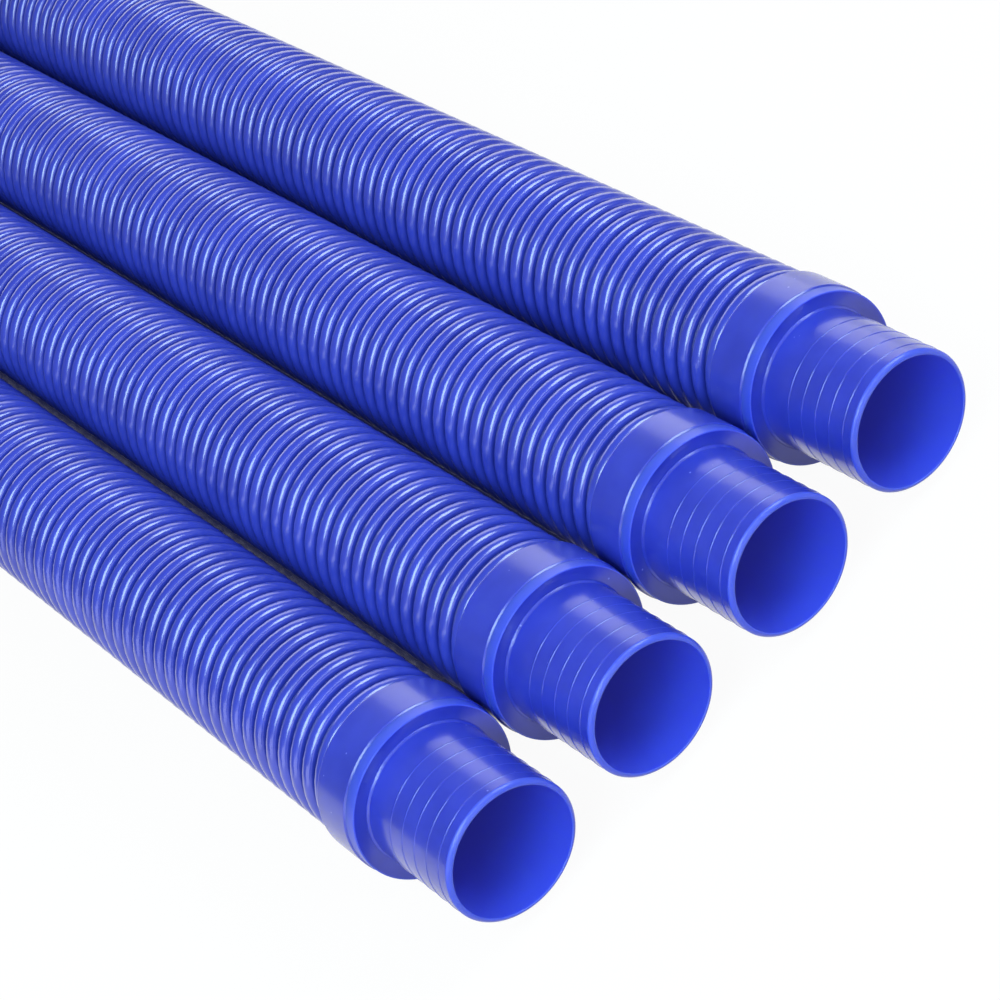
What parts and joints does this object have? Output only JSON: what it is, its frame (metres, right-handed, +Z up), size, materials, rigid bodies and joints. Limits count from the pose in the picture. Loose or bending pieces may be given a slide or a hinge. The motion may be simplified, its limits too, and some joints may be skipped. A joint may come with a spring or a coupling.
{
  "type": "pool vacuum hose sections",
  "caption": "Straight sections of blue corrugated pool vacuum hose lying side by side, each with a smooth push-in spigot on one end and a matching socket on the other.",
  "frame": {"origin": "middle of the set's box at the level of the surface that it lies on", "axes": "+X along the hoses towards the spigots, +Y across the row, +Z up"},
  "size_m": [1.0034, 0.1944, 0.0484],
  "materials": {
    "tube": "glossy, slightly pearly royal blue",
    "cuff": "satin royal blue, fine mould rings on the spigot"
  },
  "bodies": {
    "section_1": {"tube_1": "tube", "female_cuff_1": "cuff"},
    "male_end_1": {"male_cuff_1": "cuff"},
    "section_2": {"tube_2": "tube", "female_cuff_2": "cuff"},
    "male_end_2": {"male_cuff_2": "cuff"},
    "section_3": {"tube_3": "tube", "female_cuff_3": "cuff"},
    "male_end_3": {"male_cuff_3": "cuff"},
    "section_4": {"tube_4": "tube", "female_cuff_4": "cuff"},
    "male_end_4": {"male_cuff_4": "cuff"}
  },
  "joints": [
    {"name": "bend_1", "type": "hinge", "parent": "section_1", "child": "male_end_1", "pos_m": [-0.0011, -0.07305, 0.0242], "axis": [0, -1, 0], "range_deg": [0, 90], "deforming": ["tube_1"]},
    {"name": "lift_2", "type": "slide", "parent": "section_1", "child": "section_2", "axis": [0, 0, 1], "range_m": [0, 0.3]},
    {"name": "bend_2", "type": "hinge", "parent": "section_2", "child": "male_end_2", "pos_m": [0.0002, -0.02435, 0.0242], "axis": [0, -1, 0], "range_deg": [0, 90], "deforming": ["tube_2"]},
    {"name": "lift_3", "type": "slide", "parent": "section_1", "child": "section_3", "axis": [0, 0, 1], "range_m": [0, 0.3]},
    {"name": "bend_3", "type": "hinge", "parent": "section_3", "child": "male_end_3", "pos_m": [0.0021, 0.02435, 0.0242], "axis": [0, -1, 0], "range_deg": [0, 90], "deforming": ["tube_3"]},
    {"name": "lift_4", "type": "slide", "parent": "section_1", "child": "section_4", "axis": [0, 0, 1], "range_m": [0, 0.3]},
    {"name": "bend_4", "type": "hinge", "parent": "section_4", "child": "male_end_4", "pos_m": [-0.0013, 0.07305, 0.0242], "axis": [0, -1, 0], "range_deg": [0, 90], "deforming": ["tube_4"]}
  ]
}
